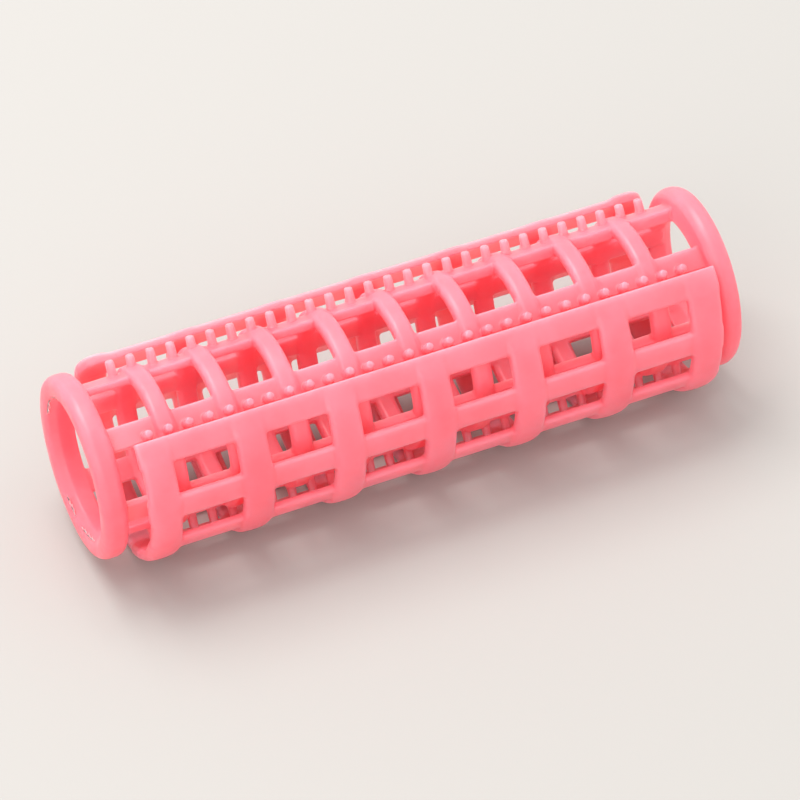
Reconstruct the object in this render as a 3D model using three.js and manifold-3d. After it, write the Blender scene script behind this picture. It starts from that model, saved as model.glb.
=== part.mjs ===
// Hair roller with a clip-over cover: a toothed open cage that the hair is wound on, and a lattice cover
// of C section that springs round it to hold the hair. Millimetres, +Z up.
//
// The roller lies along X. The origin is under its middle, on the surface it rests on, and the axis of
// both pieces is the line y = 0, z = AXIS_HEIGHT. Angles round that axis are in degrees from +Z towards
// -Y, so 90 is the front of the roller and 180 is its underside.
import * as THREE from 'three';
import { mergeVertices } from 'three/addons/utils/BufferGeometryUtils.js';
import Module from 'manifold-3d';

const wasm = await Module();
wasm.setup();

// ---- Driving dimensions: the core ----
const CORE_LENGTH = 67.84;
const CAGE_SHIFT = 0.08;
const LEFT_RIM_WIDTH = 2.6;
const RIGHT_RIM_WIDTH = 2.24;
const RIM_OUTER = 9.3;
const RIM_INNER = 6.85;
const RIM_CHAMFER = 0.5;
const COLLAR_LENGTH = 2.9;
const COLLAR_OUTER = 7.4;
const HOOP_COUNT = 9;
const HOOP_PITCH = 6.41;
const HOOP_WIDTH = 2.06;
const HOOP_OUTER = 8.15;
const HOOP_INNER = 6.7;
const HOOP_CHAMFER = 0.45;
const BAR_COUNT = 6;
const BAR_FIRST_ANGLE = -30.3;
const BAR_WIDTH = 2.4;
const BAR_OUTER = 7.78;
const BAR_INNER = 6.75;
const BAR_OUTER_DRAFT = 0.26;
const BAR_INNER_DRAFT = 0.4;
const TEETH_PER_BAR = 28;
const TOOTH_PITCH = 2.09;
const TOOTH_SHIFT = 0.56;
const TOOTH_LEAN = 5;
const TOOTH_TIP = 9.28;
const TOOTH_ROOT = 7.25;
const TOOTH_ROOT_RADIUS = 0.48;
const TOOTH_TIP_RADIUS = 0.4;

// ---- Driving dimensions: the cover ----
const COVER_LENGTH = 60.7;
const COVER_SHIFT = 0.7;
const COVER_INNER = 9.52;
const COVER_HOOP_OUTER = 10.8;
const COVER_BAR_INNER = 9.58;
const COVER_BAR_OUTER = 10.42;
const WINDOW_COLUMNS = 6;
const WINDOW_LENGTH = 6.43;
const WINDOW_PITCH = 9.57;
const MOUTH_ANGLE = -13.7;
const MOUTH_HALF_ANGLE = 52.7;
const COVER_BAR_COUNT = 8;
const COVER_BAR_SPAN = 14.5;
const HINGE_FROM_MOUTH = 145.7;
const SPLIT_GAP = 0.3;
const REAR_TIP_REACH = 0.45;

// ---- Fineness of the facets ----
const RIM_SIDES = 36;
const HOOP_SIDES = 24;
const TOOTH_SIDES = 6;
const FACET_ANGLE = 15;
const LEAST_FACET = 0.2;

const AXIS_HEIGHT = COVER_HOOP_OUTER;
const radians = THREE.MathUtils.degToRad;
const degrees = THREE.MathUtils.radToDeg;

// ---- Solids ----
function toSolid(geometry) {
  geometry.deleteAttribute('normal');
  geometry.deleteAttribute('uv');
  const merged = mergeVertices(geometry, 1e-4);
  return new wasm.Manifold(new wasm.Mesh({
    numProp: 3,
    vertProperties: new Float32Array(merged.attributes.position.array),
    triVerts: new Uint32Array(merged.index.array),
  }));
}

function joinAll(solids) {
  return solids.reduce((whole, solid) => whole.add(solid));
}

function toMesh(name, solid, material) {
  const { vertProperties, triVerts } = solid.getMesh();
  const geometry = new THREE.BufferGeometry();
  geometry.setAttribute('position', new THREE.BufferAttribute(vertProperties, 3));
  geometry.setIndex(new THREE.BufferAttribute(triVerts, 1));
  geometry.computeVertexNormals();
  const mesh = new THREE.Mesh(geometry, material);
  mesh.name = name;
  return mesh;
}

// A closed profile of [radius, x] points turned all the way round the X axis. The middles of the flat
// sides touch the true circle, and one of them is level at the top.
function turned(profile, sides) {
  const corner = 1 / Math.cos(radians(180 / sides));
  const points = [...profile, profile[0]].map(([radius, x]) => new THREE.Vector2(radius * corner, -x));
  const geometry = new THREE.LatheGeometry(points, sides, radians(180 / sides));
  geometry.rotateZ(Math.PI / 2);
  return toSolid(geometry);
}

// A solid of constant section in the Y-Z plane, running along X from start to end.
function alongX(outline, start, end) {
  const shape = new THREE.Shape(outline);
  const geometry = new THREE.ExtrudeGeometry(shape, { depth: end - start, bevelEnabled: false });
  const turn = new THREE.Matrix4().makeBasis(
    new THREE.Vector3(0, 1, 0),
    new THREE.Vector3(0, 0, 1),
    new THREE.Vector3(1, 0, 0),
  );
  geometry.applyMatrix4(turn);
  geometry.translate(start, 0, 0);
  return toSolid(geometry);
}

function polar(radius, angle) {
  return new THREE.Vector2(-radius * Math.sin(radians(angle)), radius * Math.cos(radians(angle)));
}

// ---- The core ----
// A rim, with the collar behind it that the bars run into. Its profile is drawn for the right end.
function rim(side, width) {
  const end = CORE_LENGTH / 2;
  const face = end - width;
  const profile = [
    [RIM_INNER, end - COLLAR_LENGTH],
    [RIM_INNER, end - RIM_CHAMFER],
    [RIM_INNER + RIM_CHAMFER, end],
    [RIM_OUTER - RIM_CHAMFER, end],
    [RIM_OUTER, end - RIM_CHAMFER],
    [RIM_OUTER, face + RIM_CHAMFER],
    [RIM_OUTER - RIM_CHAMFER, face],
    [COLLAR_OUTER, end - COLLAR_LENGTH],
  ];
  const right = turned(profile, RIM_SIDES);
  return side > 0 ? right : right.mirror([1, 0, 0]);
}

function coreHoop(index) {
  const x = CAGE_SHIFT + (index - (HOOP_COUNT - 1) / 2) * HOOP_PITCH;
  const half = HOOP_WIDTH / 2;
  const profile = [
    [HOOP_INNER, -half],
    [HOOP_INNER, half],
    [HOOP_OUTER - HOOP_CHAMFER, half],
    [HOOP_OUTER, half - HOOP_CHAMFER],
    [HOOP_OUTER, HOOP_CHAMFER - half],
    [HOOP_OUTER - HOOP_CHAMFER, -half],
  ];
  return turned(profile, HOOP_SIDES).translate([x, 0, 0]);
}

function tooth(index) {
  const height = TOOTH_TIP - TOOTH_ROOT;
  const pin = new THREE.CylinderGeometry(TOOTH_TIP_RADIUS, TOOTH_ROOT_RADIUS, height, TOOTH_SIDES);
  pin.rotateX(Math.PI / 2);
  const x = TOOTH_SHIFT + (index - (TEETH_PER_BAR - 1) / 2) * TOOTH_PITCH;
  pin.translate(x, 0, TOOTH_TIP - height / 2);
  return toSolid(pin);
}

// A bar at the top of the core. Drafted, it grows thicker towards the right end.
function bar() {
  const reach = CORE_LENGTH / 2 - RIGHT_RIM_WIDTH / 2;
  const box = new THREE.BoxGeometry(2 * reach, BAR_WIDTH, 1);
  const place = box.attributes.position;
  for (let i = 0; i < place.count; i += 1) {
    const along = place.getX(i) / CORE_LENGTH;
    const outer = BAR_OUTER + BAR_OUTER_DRAFT * along;
    const inner = BAR_INNER - BAR_INNER_DRAFT * along;
    place.setZ(i, place.getZ(i) > 0 ? outer : inner);
  }
  return toSolid(box);
}

// The bars between the sides and the top or underside have their teeth nearer the sides.
function core() {
  const plainBar = bar();
  const teeth = joinAll(Array.from({ length: TEETH_PER_BAR }, (_, index) => tooth(index)));
  const bars = Array.from({ length: BAR_COUNT }, (_, index) => {
    const angle = BAR_FIRST_ANGLE + index * 360 / BAR_COUNT;
    const lean = TOOTH_LEAN * Math.round(Math.sin(radians(2 * angle)));
    return plainBar.rotate([angle, 0, 0]).add(teeth.rotate([angle + lean, 0, 0]));
  });
  const hoops = Array.from({ length: HOOP_COUNT }, (_, index) => coreHoop(index));
  return joinAll([rim(-1, LEFT_RIM_WIDTH), rim(1, RIGHT_RIM_WIDTH), ...hoops, ...bars]);
}

// ---- The cover ----
// The cover's round faces are flat facets that touch the true circle at every multiple of
// FACET_ANGLE, so that one facet of each hoop is exactly level at the bottom.
function facetRadius(radius, angle) {
  const middle = Math.round(angle / FACET_ANGLE) * FACET_ANGLE;
  return radius / Math.cos(radians(angle - middle));
}

function facetAngles(from, to) {
  const first = Math.floor(from / FACET_ANGLE) - 1;
  const last = Math.ceil(to / FACET_ANGLE) + 1;
  const corners = [];
  for (let k = first; k <= last; k += 1) {
    corners.push((k + 0.5) * FACET_ANGLE);
  }
  return [from, ...corners.filter((angle) => angle > from + LEAST_FACET && angle < to - LEAST_FACET), to];
}

function arc(inner, outer, from, to, start, end) {
  const angles = facetAngles(from, to);
  const outside = angles.map((angle) => polar(facetRadius(outer, angle), angle));
  const inside = angles.map((angle) => polar(facetRadius(inner, angle), angle)).reverse();
  return alongX([...outside, ...inside], start, end);
}

// The hoops' places along X: each runs from the end of one window to the start of the next.
function coverHoopSpans() {
  const firstWindow = COVER_SHIFT - (WINDOW_COLUMNS - 1) / 2 * WINDOW_PITCH - WINDOW_LENGTH / 2;
  const starts = [COVER_SHIFT - COVER_LENGTH / 2];
  const ends = [];
  for (let column = 0; column < WINDOW_COLUMNS; column += 1) {
    ends.push(firstWindow + column * WINDOW_PITCH);
    starts.push(firstWindow + column * WINDOW_PITCH + WINDOW_LENGTH);
  }
  ends.push(COVER_SHIFT + COVER_LENGTH / 2);
  return starts.map((start, index) => [start, ends[index]]);
}

// Bars are numbered from the front lip, bar 0, to the rear lip, the last.
function coverBar(index) {
  const whole = 360 - 2 * MOUTH_HALF_ANGLE;
  const pitch = (whole - COVER_BAR_SPAN) / (COVER_BAR_COUNT - 1);
  const from = MOUTH_ANGLE + MOUTH_HALF_ANGLE + index * pitch;
  const half = COVER_LENGTH / 2;
  return arc(COVER_BAR_INNER, COVER_BAR_OUTER, from, from + COVER_BAR_SPAN,
    COVER_SHIFT - half, COVER_SHIFT + half);
}

// One part of the cover: all hoops between two angles from the mouth's middle, and some of the bars.
function coverPart(from, to, firstBar, lastBar, endTipReach) {
  const reach = degrees(endTipReach / COVER_HOOP_OUTER);
  const hoops = coverHoopSpans().map(([start, end], index) => {
    const atEnd = index === 0 || index === WINDOW_COLUMNS;
    const tip = MOUTH_ANGLE + to + (atEnd ? reach : 0);
    return arc(COVER_INNER, COVER_HOOP_OUTER, MOUTH_ANGLE + from, tip, start, end);
  });
  const bars = [];
  for (let index = firstBar; index <= lastBar; index += 1) {
    bars.push(coverBar(index));
  }
  return joinAll([...hoops, ...bars]);
}

// ---- Assembly ----
function plastic() {
  return new THREE.MeshStandardMaterial({ color: 0xff8298, roughness: 0.42, metalness: 0 });
}

const halfGap = degrees(SPLIT_GAP / 2 / COVER_INNER);
const frontSplit = HINGE_FROM_MOUTH;
const rearSplit = 360 - HINGE_FROM_MOUTH;
const rearLip = 360 - MOUTH_HALF_ANGLE;

const roller = new THREE.Group();
roller.position.z = AXIS_HEIGHT;
roller.add(
  toMesh('roller_core', core(), plastic()),
  toMesh('cover_spine', coverPart(frontSplit + halfGap, rearSplit - halfGap, 3, 4, 0), plastic()),
  toMesh('cover_front_jaw', coverPart(MOUTH_HALF_ANGLE, frontSplit - halfGap, 0, 2, 0), plastic()),
  toMesh('cover_rear_jaw', coverPart(rearSplit + halfGap, rearLip, 5, 7, REAR_TIP_REACH), plastic()),
);

export default roller;
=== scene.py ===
import math
import bpy
import numpy as np
from mathutils import Matrix, Vector


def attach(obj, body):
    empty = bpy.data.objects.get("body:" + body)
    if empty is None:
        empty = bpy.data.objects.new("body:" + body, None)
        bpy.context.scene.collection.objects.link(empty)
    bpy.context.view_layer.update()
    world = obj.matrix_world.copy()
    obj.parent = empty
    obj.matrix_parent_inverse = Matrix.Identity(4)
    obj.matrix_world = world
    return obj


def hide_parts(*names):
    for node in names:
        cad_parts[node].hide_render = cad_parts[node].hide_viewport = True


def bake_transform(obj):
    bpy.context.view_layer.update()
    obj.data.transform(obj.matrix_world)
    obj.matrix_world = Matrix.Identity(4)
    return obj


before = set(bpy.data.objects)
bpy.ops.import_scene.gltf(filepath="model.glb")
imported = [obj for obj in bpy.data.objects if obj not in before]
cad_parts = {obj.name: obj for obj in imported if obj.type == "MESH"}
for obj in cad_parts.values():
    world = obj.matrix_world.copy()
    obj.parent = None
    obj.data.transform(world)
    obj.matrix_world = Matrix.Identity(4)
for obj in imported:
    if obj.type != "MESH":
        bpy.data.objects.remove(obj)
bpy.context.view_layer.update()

# ---- Dimensions, in millimetres and degrees. The roller's axis runs along X at this height ----
AXIS_HEIGHT = 10.8
MM = 0.001

# The core
CORE_HALF = 33.92
CAGE_SHIFT = 0.08
RIM_OUTER = 9.3
RIM_INNER = 7.0
LEFT_RIM_WIDTH = 2.6
LEFT_RIM_ROUND = 0.95
RIGHT_RIM_WIDTH = 2.24
RIGHT_RIM_ROUND = 0.98
RIM_FILLET = 0.3
COLLAR_START = 31.02
COLLAR_INSET = 0.9
COLLAR_OUTER = 8.9
COLLAR_INNER = 6.75
COLLAR_SLOPE = 0.35
COLLAR_ROUND = 0.3
HOOP_COUNT = 9
HOOP_PITCH = 6.41
HOOP_WIDTH = 2.02
HOOP_OUTER = 8.15
HOOP_INNER = 6.68
HOOP_ROUND = 0.58
BAR_COUNT = 6
BAR_FIRST_ANGLE = -30.3
BAR_PITCH = 360 / BAR_COUNT
BAR_INSET = 1.3
BAR_WIDTH = 2.36
BAR_OUTER = 7.78
BAR_INNER = 6.73
BAR_OUTER_DRAFT = 0.26
BAR_INNER_DRAFT = 0.4
BAR_ROUND = 0.13
CORE_FILLET = 0.28
TEETH_PER_BAR = 28
TOOTH_PITCH = 2.09
TOOTH_SHIFT = 0.56
TOOTH_LEAN = 5
TOOTH_TIP = 9.31
TOOTH_ROOT = 7.1
TOOTH_RADIUS = 0.48
TOOTH_TAPER = 0.03
TOOTH_TAPER_LENGTH = 1.5
TOOTH_ROUND = 0.2
TOOTH_FILLET = 0.22

# The moulding flash left along the inner edge of the left rim: stretches of angle and their greatest height
FLASH_AT = -33.62
FLASH_RADIUS = 7.3
FLASH_ROOT = 0.14
FLASH_WANDER = 0.1
FLASH_STRETCHES = ((-84, -60, 0.6), (-52, -22, 0.3), (138, 172, 0.5), (184, 203, 0.8))
FLASH_STEPS_PER_DEGREE = 1.6
FLASH_LEAST_STEPS = 12

# The cover
COVER_SHIFT = 0.7
COVER_HALF = 30.35
COVER_INNER = 9.52
COVER_OUTER = 10.8
COVER_MID = (COVER_OUTER + COVER_INNER) / 2
COVER_HOOPS = 7
COVER_PITCH = 9.57
COVER_HOOP_WIDTH = 3.14
COVER_HOOP_ROUND = 0.5
COVER_HOOP_CROWN = 0.2
COVER_BARS = 8
COVER_BAR_SPAN = 14.5
COVER_BAR_INNER = 9.6
COVER_BAR_OUTER = 10.44
COVER_BAR_ROUND = 0.3
COVER_BAR_CROWN = 0.1
COVER_FILLET = 0.42
RIGHT_FLARE = 0.45
FLARE_FADE = 9
MOUTH_ANGLE = -13.7
MOUTH_HALF_ANGLE = 52.7
COVER_BAR_PITCH = (360 - 2 * MOUTH_HALF_ANGLE - COVER_BAR_SPAN) / (COVER_BARS - 1)
HALF_ARC = math.radians(180 - MOUTH_HALF_ANGLE) * COVER_MID

# The cover's lips, and the rounded tips of its end hoops at the rear lip
LIP_EDGE = 0.16
LIP_FADE = 2.6
LIP_THINNING = 0.5
LEFT_TIP_ROUND = 1.9
RIGHT_TIP_ROUND = 2.0
TIP_START = 26.4
TIP_EASE = 1.2
TIP_REACH = 0.12
TIP_RISE = 0.6

# Degrees either side of the cover's underside, at which places on the cover are worked out
BEND_START = 15
BEND_END = 65

# How the plastic looks: noise features to a metre, and how far light goes through it
DYE_CLOUDS = 160
GLOSS_PATCHES = 420
FLOW_RIPPLES = 750
SATIN_GRAIN = 4500
RIPPLE_HEIGHT = 0.06
GRAIN_HEIGHT = 0.012
LIGHT_DEPTH = 6.5
LIGHT_REACH = (1.0, 0.68, 0.62)

# The camera looks down and to the right, from far away through a long lens
CAMERA_TURN = 23.42
CAMERA_DROP = 46.3124
CAMERA_DISTANCE = 505
CAMERA_LENS = 230.6
CAMERA_SENSOR = 36
AIM_RIGHT = 0.5705
AIM_UP = -3.0

FLOOR_HALF = 3
FLOOR_COLOUR = (0.38, 0.365, 0.345)


# ---- Distance fields ----
def smoothstep(t):
    t = np.clip(t, 0, 1)
    return t * t * (3 - 2 * t)


def blend_min(a, b, width):
    h = np.clip(0.5 + 0.5 * (b - a) / width, 0, 1)
    return b + (a - b) * h - width * h * (1 - h)


def blend_max(a, b, width):
    return -blend_min(-a, -b, width)


def rounded_box(offsets, halves, radius):
    q = [np.abs(d) - (h - radius) for d, h in zip(offsets, halves)]
    outside = np.sqrt(sum(np.maximum(c, 0) ** 2 for c in q))
    inside = np.minimum(np.maximum.reduce(q), 0)
    return outside + inside - radius


def nearest(place, pitch, reach):
    """The nearest whole number of pitches, no more than reach either way."""
    return np.clip(np.round(place / pitch), -reach, reach)


def polar_angle(y, z):
    """Degrees from +Z towards -Y."""
    return np.degrees(np.arctan2(-y, z))


# ---- The core's shape ----
def core_rims(x, r):
    """Both rims, each with the slanted collar behind it that the bars run into."""
    width = np.where(x < 0, LEFT_RIM_WIDTH, RIGHT_RIM_WIDTH)
    rim = rounded_box(
        (np.abs(x) - CORE_HALF + width / 2, r - (RIM_OUTER + RIM_INNER) / 2),
        (width / 2, (RIM_OUTER - RIM_INNER) / 2),
        np.where(x < 0, LEFT_RIM_ROUND, RIGHT_RIM_ROUND),
    )
    half = (CORE_HALF - COLLAR_INSET - COLLAR_START) / 2
    slant = COLLAR_SLOPE * (r - COLLAR_INNER)
    collar = rounded_box(
        (np.abs(x) - slant - COLLAR_START - half, r - (COLLAR_OUTER + COLLAR_INNER) / 2),
        (half, (COLLAR_OUTER - COLLAR_INNER) / 2),
        COLLAR_ROUND,
    )
    return blend_min(rim, collar, RIM_FILLET)


def core_hoops(x, r):
    along = x - CAGE_SHIFT
    index = nearest(along, HOOP_PITCH, HOOP_COUNT // 2)
    return rounded_box(
        (along - index * HOOP_PITCH, r - (HOOP_OUTER + HOOP_INNER) / 2),
        (HOOP_WIDTH / 2, (HOOP_OUTER - HOOP_INNER) / 2),
        HOOP_ROUND,
    )


def core_bars(x, r, turn):
    """The bars grow thicker towards the right end. turn is the angle in radians from the nearest bar."""
    outer = BAR_OUTER + BAR_OUTER_DRAFT * x / (2 * CORE_HALF)
    inner = BAR_INNER - BAR_INNER_DRAFT * x / (2 * CORE_HALF)
    return rounded_box(
        (x, r * np.sin(turn), r * np.cos(turn) - (outer + inner) / 2),
        (CORE_HALF - BAR_INSET, BAR_WIDTH / 2, (outer - inner) / 2),
        BAR_ROUND,
    )


def core_teeth(x, r, turn):
    """turn is the angle in radians from the nearest row of teeth."""
    last = (TEETH_PER_BAR - 1) / 2
    index = np.clip(np.round((x - TOOTH_SHIFT) / TOOTH_PITCH + last), 0, 2 * last)
    along = x - TOOTH_SHIFT - (index - last) * TOOTH_PITCH
    aside, height = r * np.sin(turn), r * np.cos(turn)
    taper = TOOTH_TAPER * np.clip(height - BAR_OUTER, 0, TOOTH_TAPER_LENGTH)
    return rounded_box(
        (np.hypot(along, aside) + taper, height - (TOOTH_TIP + TOOTH_ROOT) / 2),
        (TOOTH_RADIUS, (TOOTH_TIP - TOOTH_ROOT) / 2),
        TOOTH_ROUND,
    )


def lean(bar_angle):
    """The bars between the sides and the top or underside have their teeth nearer the sides."""
    return TOOTH_LEAN * np.round(np.sin(np.radians(2 * bar_angle)))


def core_field(x, y, z):
    r = np.hypot(y, z)
    angle = polar_angle(y, z)
    bar_angle = BAR_FIRST_ANGLE + np.round((angle - BAR_FIRST_ANGLE) / BAR_PITCH) * BAR_PITCH
    turn = np.radians(angle - bar_angle)
    cage = blend_min(core_hoops(x, r), core_bars(x, r, turn), CORE_FILLET)
    cage = blend_min(cage, core_rims(x, r), CORE_FILLET)
    teeth = core_teeth(x, r, turn - np.radians(lean(bar_angle)))
    return blend_min(cage, teeth, TOOTH_FILLET)


# ---- The cover's shape ----
# from_front and from_rear are distances round the cover from its two lips, along is the place along it
# from its middle, and flare is how far its right end reaches out.
def crowned(r, crown, across, half_width):
    """The radius, raised towards the edges of a strip so that the strip's outer face is crowned."""
    depth = np.clip((r - COVER_INNER) / (COVER_OUTER - COVER_INNER), 0, 1)
    return r + crown * (across / half_width) ** 2 * depth


def cover_hoops(along, r, from_front, from_rear, flare):
    """The hoops thin out and end inside the lip bands, but the end hoops stay a little proud at the rear
    lip."""
    end_hoop = COVER_HOOPS // 2
    index = nearest(along, COVER_PITCH, end_hoop)
    across = along - index * COVER_PITCH
    rise_rear = smoothstep(from_rear / LIP_FADE)
    rise_rear = np.where(np.abs(index) == end_hoop, TIP_RISE + (1 - TIP_RISE) * rise_rear, rise_rear)
    thinned = LIP_THINNING * (1 - smoothstep(from_front / LIP_FADE) * rise_rear)
    flare = np.where(index == end_hoop, flare, 0)
    return rounded_box(
        (across - flare / 2, crowned(r, COVER_HOOP_CROWN, across, COVER_HOOP_WIDTH / 2) - COVER_MID),
        ((COVER_HOOP_WIDTH + flare) / 2, (COVER_OUTER - COVER_INNER) / 2 - thinned),
        COVER_HOOP_ROUND,
    )


def cover_bars(along, r, psi, flare):
    """psi is the angle in degrees from the middle of the mouth."""
    first = MOUTH_HALF_ANGLE + COVER_BAR_SPAN / 2
    index = np.clip(np.round((psi - first) / COVER_BAR_PITCH), 0, COVER_BARS - 1)
    aside = np.radians(psi - first - index * COVER_BAR_PITCH) * COVER_MID
    past_lip = ((index == 0) & (aside < 0)) | ((index == COVER_BARS - 1) & (aside > 0))
    aside = np.where(past_lip, 0, aside)
    half_width = math.radians(COVER_BAR_SPAN / 2) * COVER_MID
    height = crowned(r, COVER_BAR_CROWN, aside, half_width) - (COVER_BAR_OUTER + COVER_BAR_INNER) / 2
    return rounded_box(
        (along - flare / 2, aside, height),
        (COVER_HALF + flare / 2, half_width, (COVER_BAR_OUTER - COVER_BAR_INNER) / 2),
        COVER_BAR_ROUND,
    )


def cover_lips(along, from_front, from_rear, flare):
    """Both lips are cut square; the end hoops' tips at the rear lip are rounded off."""
    tip_round = np.where(along < 0, LEFT_TIP_ROUND, RIGHT_TIP_ROUND)
    end = np.where(along < 0, COVER_HALF, COVER_HALF + flare)
    from_end = np.clip((np.abs(along) - end + tip_round) / tip_round, 0, 1)
    reach = TIP_REACH * smoothstep((np.abs(along) - TIP_START) / TIP_EASE)
    reach -= tip_round * (1 - np.sqrt(1 - from_end**2))
    return np.maximum(-from_front, -from_rear - reach)


def cover_field(x, y, z):
    r = np.hypot(y, z)
    along = x - COVER_SHIFT
    psi = np.mod(polar_angle(y, z) - MOUTH_ANGLE, 360)
    arc = np.radians(psi - 180) * COVER_MID
    from_front, from_rear = HALF_ARC + arc, HALF_ARC - arc
    flare = RIGHT_FLARE * smoothstep(1 - np.minimum(from_front, from_rear) / FLARE_FADE)
    lattice = blend_min(
        cover_hoops(along, r, from_front, from_rear, flare),
        cover_bars(along, r, psi, flare),
        COVER_FILLET,
    )
    return blend_max(lattice, cover_lips(along, from_front, from_rear, flare), LIP_EDGE)


# ---- Surfaces ----
# A surface is where a field is 0, found on a grid of places along X, angles and radii round the roller's
# axis. Each grid cell that it passes through gets a vertex, and each grid edge that it crosses gets a
# quad between the four cells round the edge.
ROUND_AN_EDGE = ((-1, -1), (0, -1), (0, 0), (-1, 0))
SETTLING_STEPS = 6
LONGEST_STEP = 0.1
LEAST_SLOPE = 0.05


def graded(low, high, edges, fine, coarse, reach):
    """Grid lines from low to high, fine apart at the edges and coarse apart beyond their reach."""
    s = np.linspace(low, high, 20001)
    away = np.min(np.abs(s[:, None] - np.array(edges)[None, :]), axis=1)
    spacing = fine + (coarse - fine) * np.clip(away / reach, 0, 1)
    count = np.concatenate([[0], np.cumsum((s[1] - s[0]) / spacing[:-1])])
    steps = math.ceil(count[-1])
    return np.interp(np.linspace(0, count[-1], steps + 1), count, s)


def in_space(x, angle, r):
    a = np.radians(angle)
    return np.stack(np.broadcast_arrays(x, -r * np.sin(a), r * np.cos(a)), axis=-1)


def gradient(field, p, step=0.004):
    g = np.empty_like(p)
    for axis in range(3):
        d = np.zeros(3)
        d[axis] = step
        g[:, axis] = (field(*(p + d).T) - field(*(p - d).T)) / (2 * step)
    return g


def settled(field, points):
    """The points moved onto the surface, and the outward normals there."""
    for _ in range(SETTLING_STEPS):
        g = gradient(field, points)
        f = np.clip(field(*points.T), -LONGEST_STEP, LONGEST_STEP)
        points = points - g * (f / np.maximum((g**2).sum(1), LEAST_SLOPE))[:, None]
    normals = gradient(field, points)
    return points, normals / np.linalg.norm(normals, axis=1)[:, None]


def crossed_edges(value, lines, axis):
    """The grid edges along an axis that the surface crosses: where each starts in the grid, where it is
    crossed, and whether its start is inside the solid."""
    low = tuple(slice(0, -1) if a == axis else slice(None) for a in range(3))
    high = tuple(slice(1, None) if a == axis else slice(None) for a in range(3))
    edges = np.argwhere((value[low] < 0) != (value[high] < 0))
    start, end = value[low][tuple(edges.T)], value[high][tuple(edges.T)]
    place = np.stack([lines[a][edges[:, a]] for a in range(3)], axis=1)
    place[:, axis] += np.diff(lines[axis])[edges[:, axis]] * start / (start - end)
    return edges, place, start < 0


def cells_round(edges, axis, cells, closed):
    """The four cells round each edge, one after another. On a closed grid the cells past the seam are
    those at its other end, and the second value is what that adds to their angle."""
    others = [a for a in range(3) if a != axis]
    for offsets in ROUND_AN_EDGE:
        cell = edges.copy()
        cell[:, others] += offsets
        turned = np.zeros((len(edges), 3))
        if closed:
            turns, cell[:, 1] = np.divmod(cell[:, 1], cells[1])
            turned[:, 1] = -360 * turns
        yield cell, turned


def net(field, x_lines, angle_lines, r_lines, closed):
    """The points, outward normals and quads of a surface."""
    if closed:
        angle_lines = np.append(angle_lines, angle_lines[0] + 360)
    lines = (x_lines, angle_lines, r_lines)
    value = field(*np.moveaxis(in_space(*np.meshgrid(*lines, indexing="ij")), -1, 0))
    cells = tuple(len(line) - 1 for line in lines)
    total = np.zeros(cells + (3,))
    count = np.zeros(cells)
    sides = []
    for axis in range(3):
        edges, place, from_inside = crossed_edges(value, lines, axis)
        ring = []
        for cell, turned in cells_round(edges, axis, cells, closed):
            real = np.all((cell >= 0) & (cell < cells), axis=1)
            np.add.at(total, tuple(cell[real].T), (place + turned)[real])
            np.add.at(count, tuple(cell[real].T), 1)
            ring.append(cell)
        once = np.full(len(edges), True)
        if closed and axis != 1:
            once = edges[:, 1] < cells[1]
        sides.append((ring, once & (from_inside != (axis == 1)), once & (from_inside == (axis == 1))))

    used = tuple(np.argwhere(count > 0).T)
    number = np.full(cells, -1)
    number[used] = np.arange(len(used[0]))
    quads = []
    for ring, outward, inward in sides:
        quads.append(np.stack([number[tuple(cell[inward].T)] for cell in ring], axis=1))
        quads.append(np.stack([number[tuple(cell[outward].T)] for cell in ring[::-1]], axis=1))
    points, normals = settled(field, in_space(*(total[used] / count[used][:, None]).T))
    return points, normals, np.concatenate(quads)


def split_by_angle(points, normals, quads, angle):
    """The mesh on each side of an angle from the mouth's middle, cut along whole quads."""
    middle = points[quads].mean(axis=1)
    beyond = np.mod(polar_angle(middle[:, 1], middle[:, 2]) - MOUTH_ANGLE, 360) > angle
    halves = []
    for chosen in (quads[~beyond], quads[beyond]):
        used, index = np.unique(chosen, return_inverse=True)
        halves.append((points[used], normals[used], index.reshape(-1, 4)))
    return halves


# ---- Pieces ----
def mesh_object(name, points, faces):
    """An object from points in millimetres, measured from the roller's axis."""
    mesh = bpy.data.meshes.new(name)
    at = (points + np.array([0, 0, AXIS_HEIGHT])) * MM
    mesh.from_pydata(at.tolist(), [], faces)
    obj = bpy.data.objects.new(name, mesh)
    bpy.context.scene.collection.objects.link(obj)
    return obj


def smooth_object(name, points, normals, quads):
    obj = mesh_object(name, points, quads.tolist())
    obj.data.shade_smooth()
    obj.data.normals_split_custom_set_from_vertices(normals.tolist())
    return obj


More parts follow.
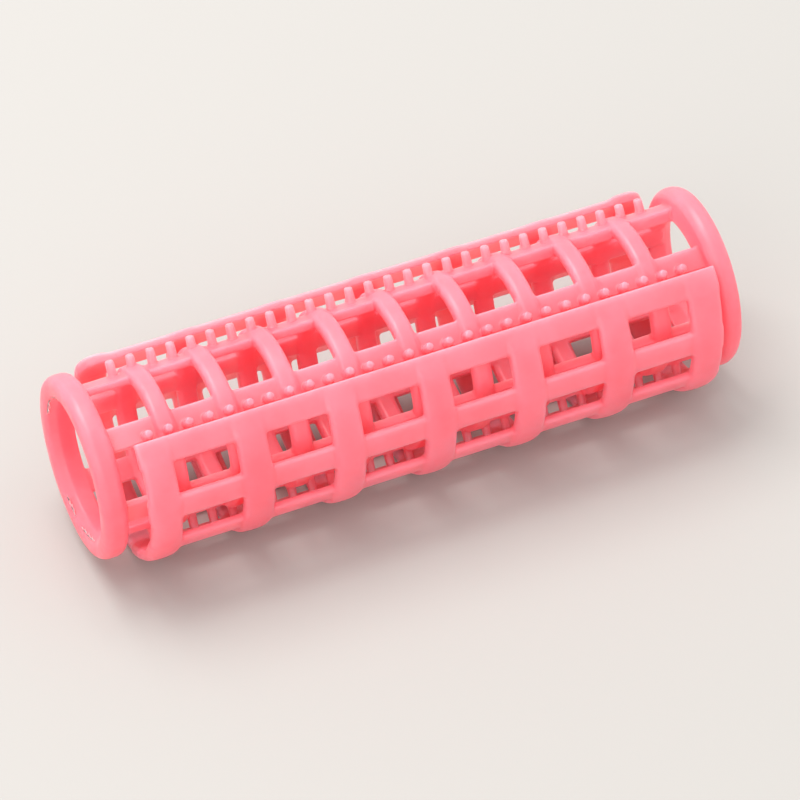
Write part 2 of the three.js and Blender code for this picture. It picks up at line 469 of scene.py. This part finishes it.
def core_moulding():
    hoops = [CAGE_SHIFT + (i - HOOP_COUNT // 2) * HOOP_PITCH for i in range(HOOP_COUNT)]
    teeth = [TOOTH_SHIFT + (i - (TEETH_PER_BAR - 1) / 2) * TOOTH_PITCH for i in range(TEETH_PER_BAR)]
    edges = [x + s * HOOP_WIDTH / 2 for x in hoops for s in (-1, 1)]
    edges += [s * x for s in (-1, 1) for x in (CORE_HALF, CORE_HALF - LEFT_RIM_WIDTH, COLLAR_START)]
    edges += [x + s * TOOTH_RADIUS for x in teeth for s in (-1, 1)]
    x_lines = graded(-CORE_HALF - 0.3, CORE_HALF + 0.3, edges, fine=0.17, coarse=0.5, reach=0.6)
    bar_edge = math.degrees(BAR_WIDTH / 2 / BAR_OUTER)
    tooth_edge = math.degrees(TOOTH_RADIUS / BAR_OUTER)
    bars = [BAR_FIRST_ANGLE + k * BAR_PITCH for k in range(BAR_COUNT)]
    edges = [a + s * bar_edge for a in bars for s in (-1, 1)]
    edges += [a + lean(a) + s * tooth_edge for a in bars for s in (-1, 1)]
    start = BAR_FIRST_ANGLE - BAR_PITCH / 2
    angle_lines = graded(start, start + 360, edges, fine=1.1, coarse=5.0, reach=9)[:-1]
    edges = [BAR_INNER, BAR_OUTER, TOOTH_TIP]
    r_lines = graded(6.3, 9.7, edges, fine=0.15, coarse=0.34, reach=0.5)
    return net(core_field, x_lines, angle_lines, r_lines, closed=True)


def cover_lattice():
    hoops = [COVER_SHIFT + (i - COVER_HOOPS // 2) * COVER_PITCH for i in range(COVER_HOOPS)]
    left, right = COVER_SHIFT - COVER_HALF, COVER_SHIFT + COVER_HALF + RIGHT_FLARE
    edges = [x + s * COVER_HOOP_WIDTH / 2 for x in hoops for s in (-1, 1)] + [right]
    x_lines = graded(left - 0.3, right + 0.3, edges, fine=0.11, coarse=0.5, reach=1.2)
    first = MOUTH_ANGLE + MOUTH_HALF_ANGLE
    last = MOUTH_ANGLE + 360 - MOUTH_HALF_ANGLE
    edges = [first + k * COVER_BAR_PITCH + s for k in range(COVER_BARS) for s in (0, COVER_BAR_SPAN)]
    angle_lines = graded(first - 2, last + 3, edges, fine=0.6, coarse=2.4, reach=6)
    edges = [COVER_INNER, COVER_BAR_OUTER, COVER_OUTER]
    r_lines = graded(9.2, 11.1, edges, fine=0.1, coarse=0.2, reach=0.4)
    return net(cover_field, x_lines, angle_lines, r_lines, closed=False)


def flash_fin(start, end, height):
    """A thin ragged fin on the rim's inner edge, as closed rings of three points: two on the rim and
    one at the fin's torn edge."""
    steps = max(FLASH_LEAST_STEPS, round((end - start) * FLASH_STEPS_PER_DEGREE))
    angle = np.linspace(start, end, steps + 1)
    along = np.linspace(0, 1, steps + 1)
    ragged = 0.62 + 0.22 * np.sin(angle * 1.31) + 0.16 * np.sin(angle * 3.07 + 1)
    tall = height * ragged * np.sqrt(np.sin(np.pi * np.clip(along, 0.01, 0.99)))
    foot = np.full(steps + 1, FLASH_RADIUS)
    points = np.stack([
        in_space(FLASH_AT - FLASH_ROOT / 2, angle, foot),
        in_space(FLASH_AT + FLASH_ROOT / 2, angle, foot),
        in_space(FLASH_AT + FLASH_WANDER * np.sin(angle * 0.7), angle, foot - tall),
    ], axis=1).reshape(-1, 3)
    faces = [[0, 2, 1], [3 * steps, 3 * steps + 1, 3 * steps + 2]]
    for i in range(steps):
        for a, b in ((0, 2), (2, 1), (1, 0)):
            faces.append([3 * i + a, 3 * i + 3 + a, 3 * i + 3 + b, 3 * i + b])
    return points, faces


def core_flash():
    points, faces = [], []
    for stretch in FLASH_STRETCHES:
        fin, sides = flash_fin(*stretch)
        faces += [[i + len(points) for i in side] for side in sides]
        points += fin.tolist()
    obj = mesh_object("core_flash", np.array(points), faces)
    obj.data.validate()
    return obj


# ---- Material ----
def noise(nodes, links, coords, scale, detail):
    node = nodes.new("ShaderNodeTexNoise")
    node.inputs["Scale"].default_value = scale
    node.inputs["Detail"].default_value = detail
    links.new(coords.outputs["Object"], node.inputs["Vector"])
    return node.outputs["Fac"]


def spread(nodes, links, value, low, high):
    """Maps a noise's middle range onto low to high."""
    node = nodes.new("ShaderNodeMapRange")
    node.inputs["From Min"].default_value = 0.3
    node.inputs["From Max"].default_value = 0.7
    node.inputs["To Min"].default_value = low
    node.inputs["To Max"].default_value = high
    links.new(value, node.inputs["Value"])
    return node.outputs["Result"]


def ramp(nodes, links, value, low, high):
    """Maps a noise's middle range onto the colours low to high."""
    node = nodes.new("ShaderNodeValToRGB")
    for element, position, colour in zip(node.color_ramp.elements, (0.3, 0.7), (low, high)):
        element.position = position
        element.color = (*colour, 1)
    links.new(value, node.inputs["Fac"])
    return node.outputs["Color"]


def bump(nodes, links, value, strength, height):
    node = nodes.new("ShaderNodeBump")
    node.inputs["Strength"].default_value = strength
    node.inputs["Distance"].default_value = height * MM
    links.new(value, node.inputs["Height"])
    return node


def plastic(name, deep, pale):
    """Milky pink polyethylene: light goes far through it, its dye is a little uneven, and its skin has
    faint flow ripples and a fine satin grain."""
    material = bpy.data.materials.new(name)
    material.use_nodes = True
    nodes, links = material.node_tree.nodes, material.node_tree.links
    shader = nodes["Principled BSDF"]
    shader.inputs["IOR"].default_value = 1.5
    shader.inputs["Subsurface Weight"].default_value = 1.0
    shader.inputs["Subsurface Radius"].default_value = LIGHT_REACH
    shader.inputs["Subsurface Scale"].default_value = LIGHT_DEPTH * MM
    coords = nodes.new("ShaderNodeTexCoord")

    clouds = noise(nodes, links, coords, DYE_CLOUDS, detail=4)
    links.new(ramp(nodes, links, clouds, deep, pale), shader.inputs["Base Color"])
    patches = noise(nodes, links, coords, GLOSS_PATCHES, detail=3)
    links.new(spread(nodes, links, patches, 0.3, 0.5), shader.inputs["Roughness"])

    ripples = bump(nodes, links, noise(nodes, links, coords, FLOW_RIPPLES, detail=2), 0.5, RIPPLE_HEIGHT)
    grain = bump(nodes, links, noise(nodes, links, coords, SATIN_GRAIN, detail=2), 0.4, GRAIN_HEIGHT)
    links.new(ripples.outputs["Normal"], grain.inputs["Normal"])
    links.new(grain.outputs["Normal"], shader.inputs["Normal"])
    return material


# ---- Camera, light and floor ----
def camera():
    turn, drop = math.radians(CAMERA_TURN), math.radians(CAMERA_DROP)
    right = Vector((math.cos(turn), -math.sin(turn), 0))
    level = Vector((math.sin(turn), math.cos(turn), 0))
    down = Vector((0, 0, -1))
    forward = math.cos(drop) * level + math.sin(drop) * down
    up = math.sin(drop) * level - math.cos(drop) * down
    data = bpy.data.cameras.new("camera")
    data.lens = CAMERA_LENS
    data.sensor_width = CAMERA_SENSOR
    data.clip_start = 0.01
    data.clip_end = 10
    obj = bpy.data.objects.new("camera", data)
    aim = Vector((CAGE_SHIFT, 0, AXIS_HEIGHT)) + AIM_RIGHT * right + AIM_UP * up
    place = (aim - CAMERA_DISTANCE * forward) * MM
    obj.matrix_world = Matrix((
        (right.x, up.x, -forward.x, place.x),
        (right.y, up.y, -forward.y, place.y),
        (right.z, up.z, -forward.z, place.z),
        (0, 0, 0, 1),
    ))
    bpy.context.scene.collection.objects.link(obj)
    bpy.context.scene.camera = obj


def soft_light(name, place, size, power):
    """A square light of a size in metres, turned to the middle of the roller."""
    data = bpy.data.lights.new(name, "AREA")
    data.size = size
    data.energy = power
    obj = bpy.data.objects.new(name, data)
    obj.location = place
    obj.rotation_mode = "QUATERNION"
    obj.rotation_quaternion = (Vector((0, 0, 0.01)) - Vector(place)).to_track_quat("-Z", "Y")
    bpy.context.scene.collection.objects.link(obj)


def studio():
    world = bpy.data.worlds.new("studio")
    world.use_nodes = True
    background = world.node_tree.nodes["Background"]
    background.inputs["Color"].default_value = (1, 1, 1, 1)
    background.inputs["Strength"].default_value = 1.3
    bpy.context.scene.world = world
    soft_light("key", (-0.12, 0.2, 0.5), size=0.35, power=2.9)
    soft_light("fill", (-0.35, -0.35, 0.35), size=0.3, power=0.9)
    bpy.context.scene.view_settings.view_transform = "Standard"


def floor():
    mesh = bpy.data.meshes.new("floor")
    corners = [(x * FLOOR_HALF, y * FLOOR_HALF, 0) for x, y in ((-1, -1), (1, -1), (1, 1), (-1, 1))]
    mesh.from_pydata(corners, [], [(0, 1, 2, 3)])
    obj = bpy.data.objects.new("floor", mesh)
    bpy.context.scene.collection.objects.link(obj)
    material = bpy.data.materials.new("floor")
    material.use_nodes = True
    shader = material.node_tree.nodes["Principled BSDF"]
    shader.inputs["Base Color"].default_value = (*FLOOR_COLOUR, 1)
    shader.inputs["Roughness"].default_value = 0.8
    mesh.materials.append(material)


# ---- The roller ----
def build_core(pink):
    core = smooth_object("core_moulding", *core_moulding())
    core.data.materials.append(pink)
    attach(core, "core")
    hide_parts("roller_core")

    flash = core_flash()
    flash.data.materials.append(plastic("thin_flash", (1.0, 0.42, 0.46), (1.0, 0.5, 0.54)))
    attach(flash, "core")


def on_cover(psi):
    """The place in metres, inside the cover's wall, at an angle from the middle of the mouth."""
    x, y, z = in_space(0.0, psi + MOUTH_ANGLE, 10.2)
    return (0, y * MM, (z + AXIS_HEIGHT) * MM)


def build_cover(pink):
    """The cover is cut at its underside into two pieces, a front one and a rear one."""
    front, rear = split_by_angle(*cover_lattice(), 180)
    for name, part, body, node, side in (
        ("cover_front", front, "front_jaw", "cover_front_jaw", 1),
        ("cover_rear", rear, "rear_jaw", "cover_rear_jaw", -1),
    ):
        piece = smooth_object(name, *part)
        piece.data.materials.append(pink)
        start, end = on_cover(180 - side * BEND_START), on_cover(180 - side * BEND_END)
        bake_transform(piece)
        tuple(start)
        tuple(end)
        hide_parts(node, "cover_spine")


camera()
studio()
floor()
pink_plastic = plastic("pink_plastic", (0.98, 0.125, 0.165), (1.0, 0.165, 0.215))
build_core(pink_plastic)
build_cover(pink_plastic)
